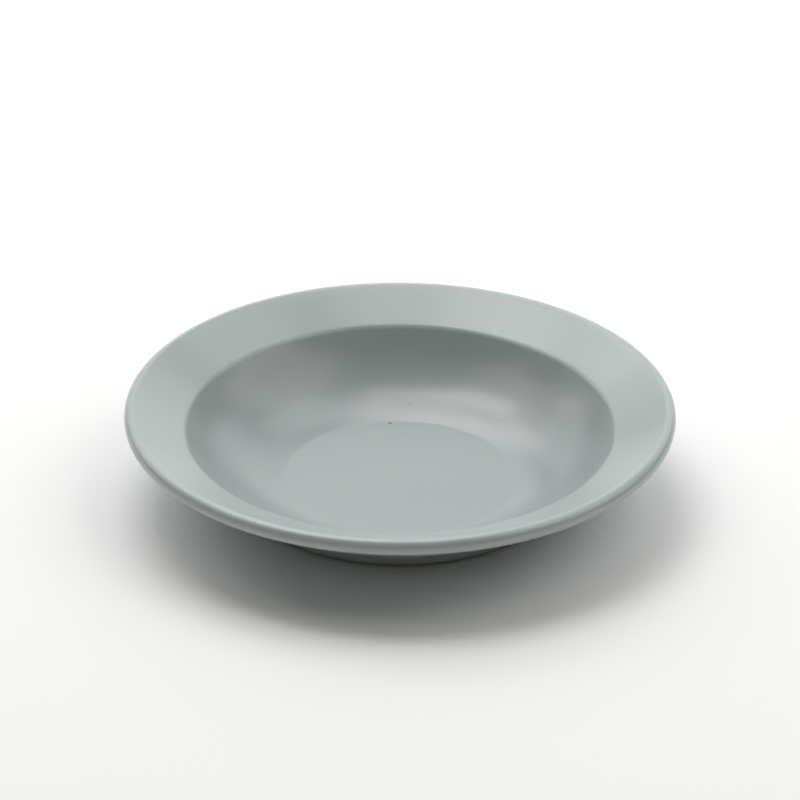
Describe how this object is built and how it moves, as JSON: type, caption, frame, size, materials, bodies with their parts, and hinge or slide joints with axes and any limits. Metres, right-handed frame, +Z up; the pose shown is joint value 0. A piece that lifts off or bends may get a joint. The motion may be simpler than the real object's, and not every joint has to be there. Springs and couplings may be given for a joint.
{
  "type": "deep plate",
  "caption": "Round deep plate with a flat well, a rounded wall, a wide sloping rim with a rolled lip and a low foot ring, for serving soup or pasta.",
  "frame": {"origin": "centre of the foot ring's bearing face, on the surface the plate stands on", "axes": "+Z up along the plate's axis, out of the well; +X and +Y are arbitrary, the plate being round"},
  "size_m": [0.22, 0.22, 0.0361],
  "materials": {
    "clay": "matte",
    "glaze": "satin",
    "recess_glaze": "satin"
  },
  "bodies": {
    "root": {"stoneware_body": "clay", "glaze_coat": "glaze", "foot_recess_glaze": "recess_glaze"}
  },
  "joints": []
}
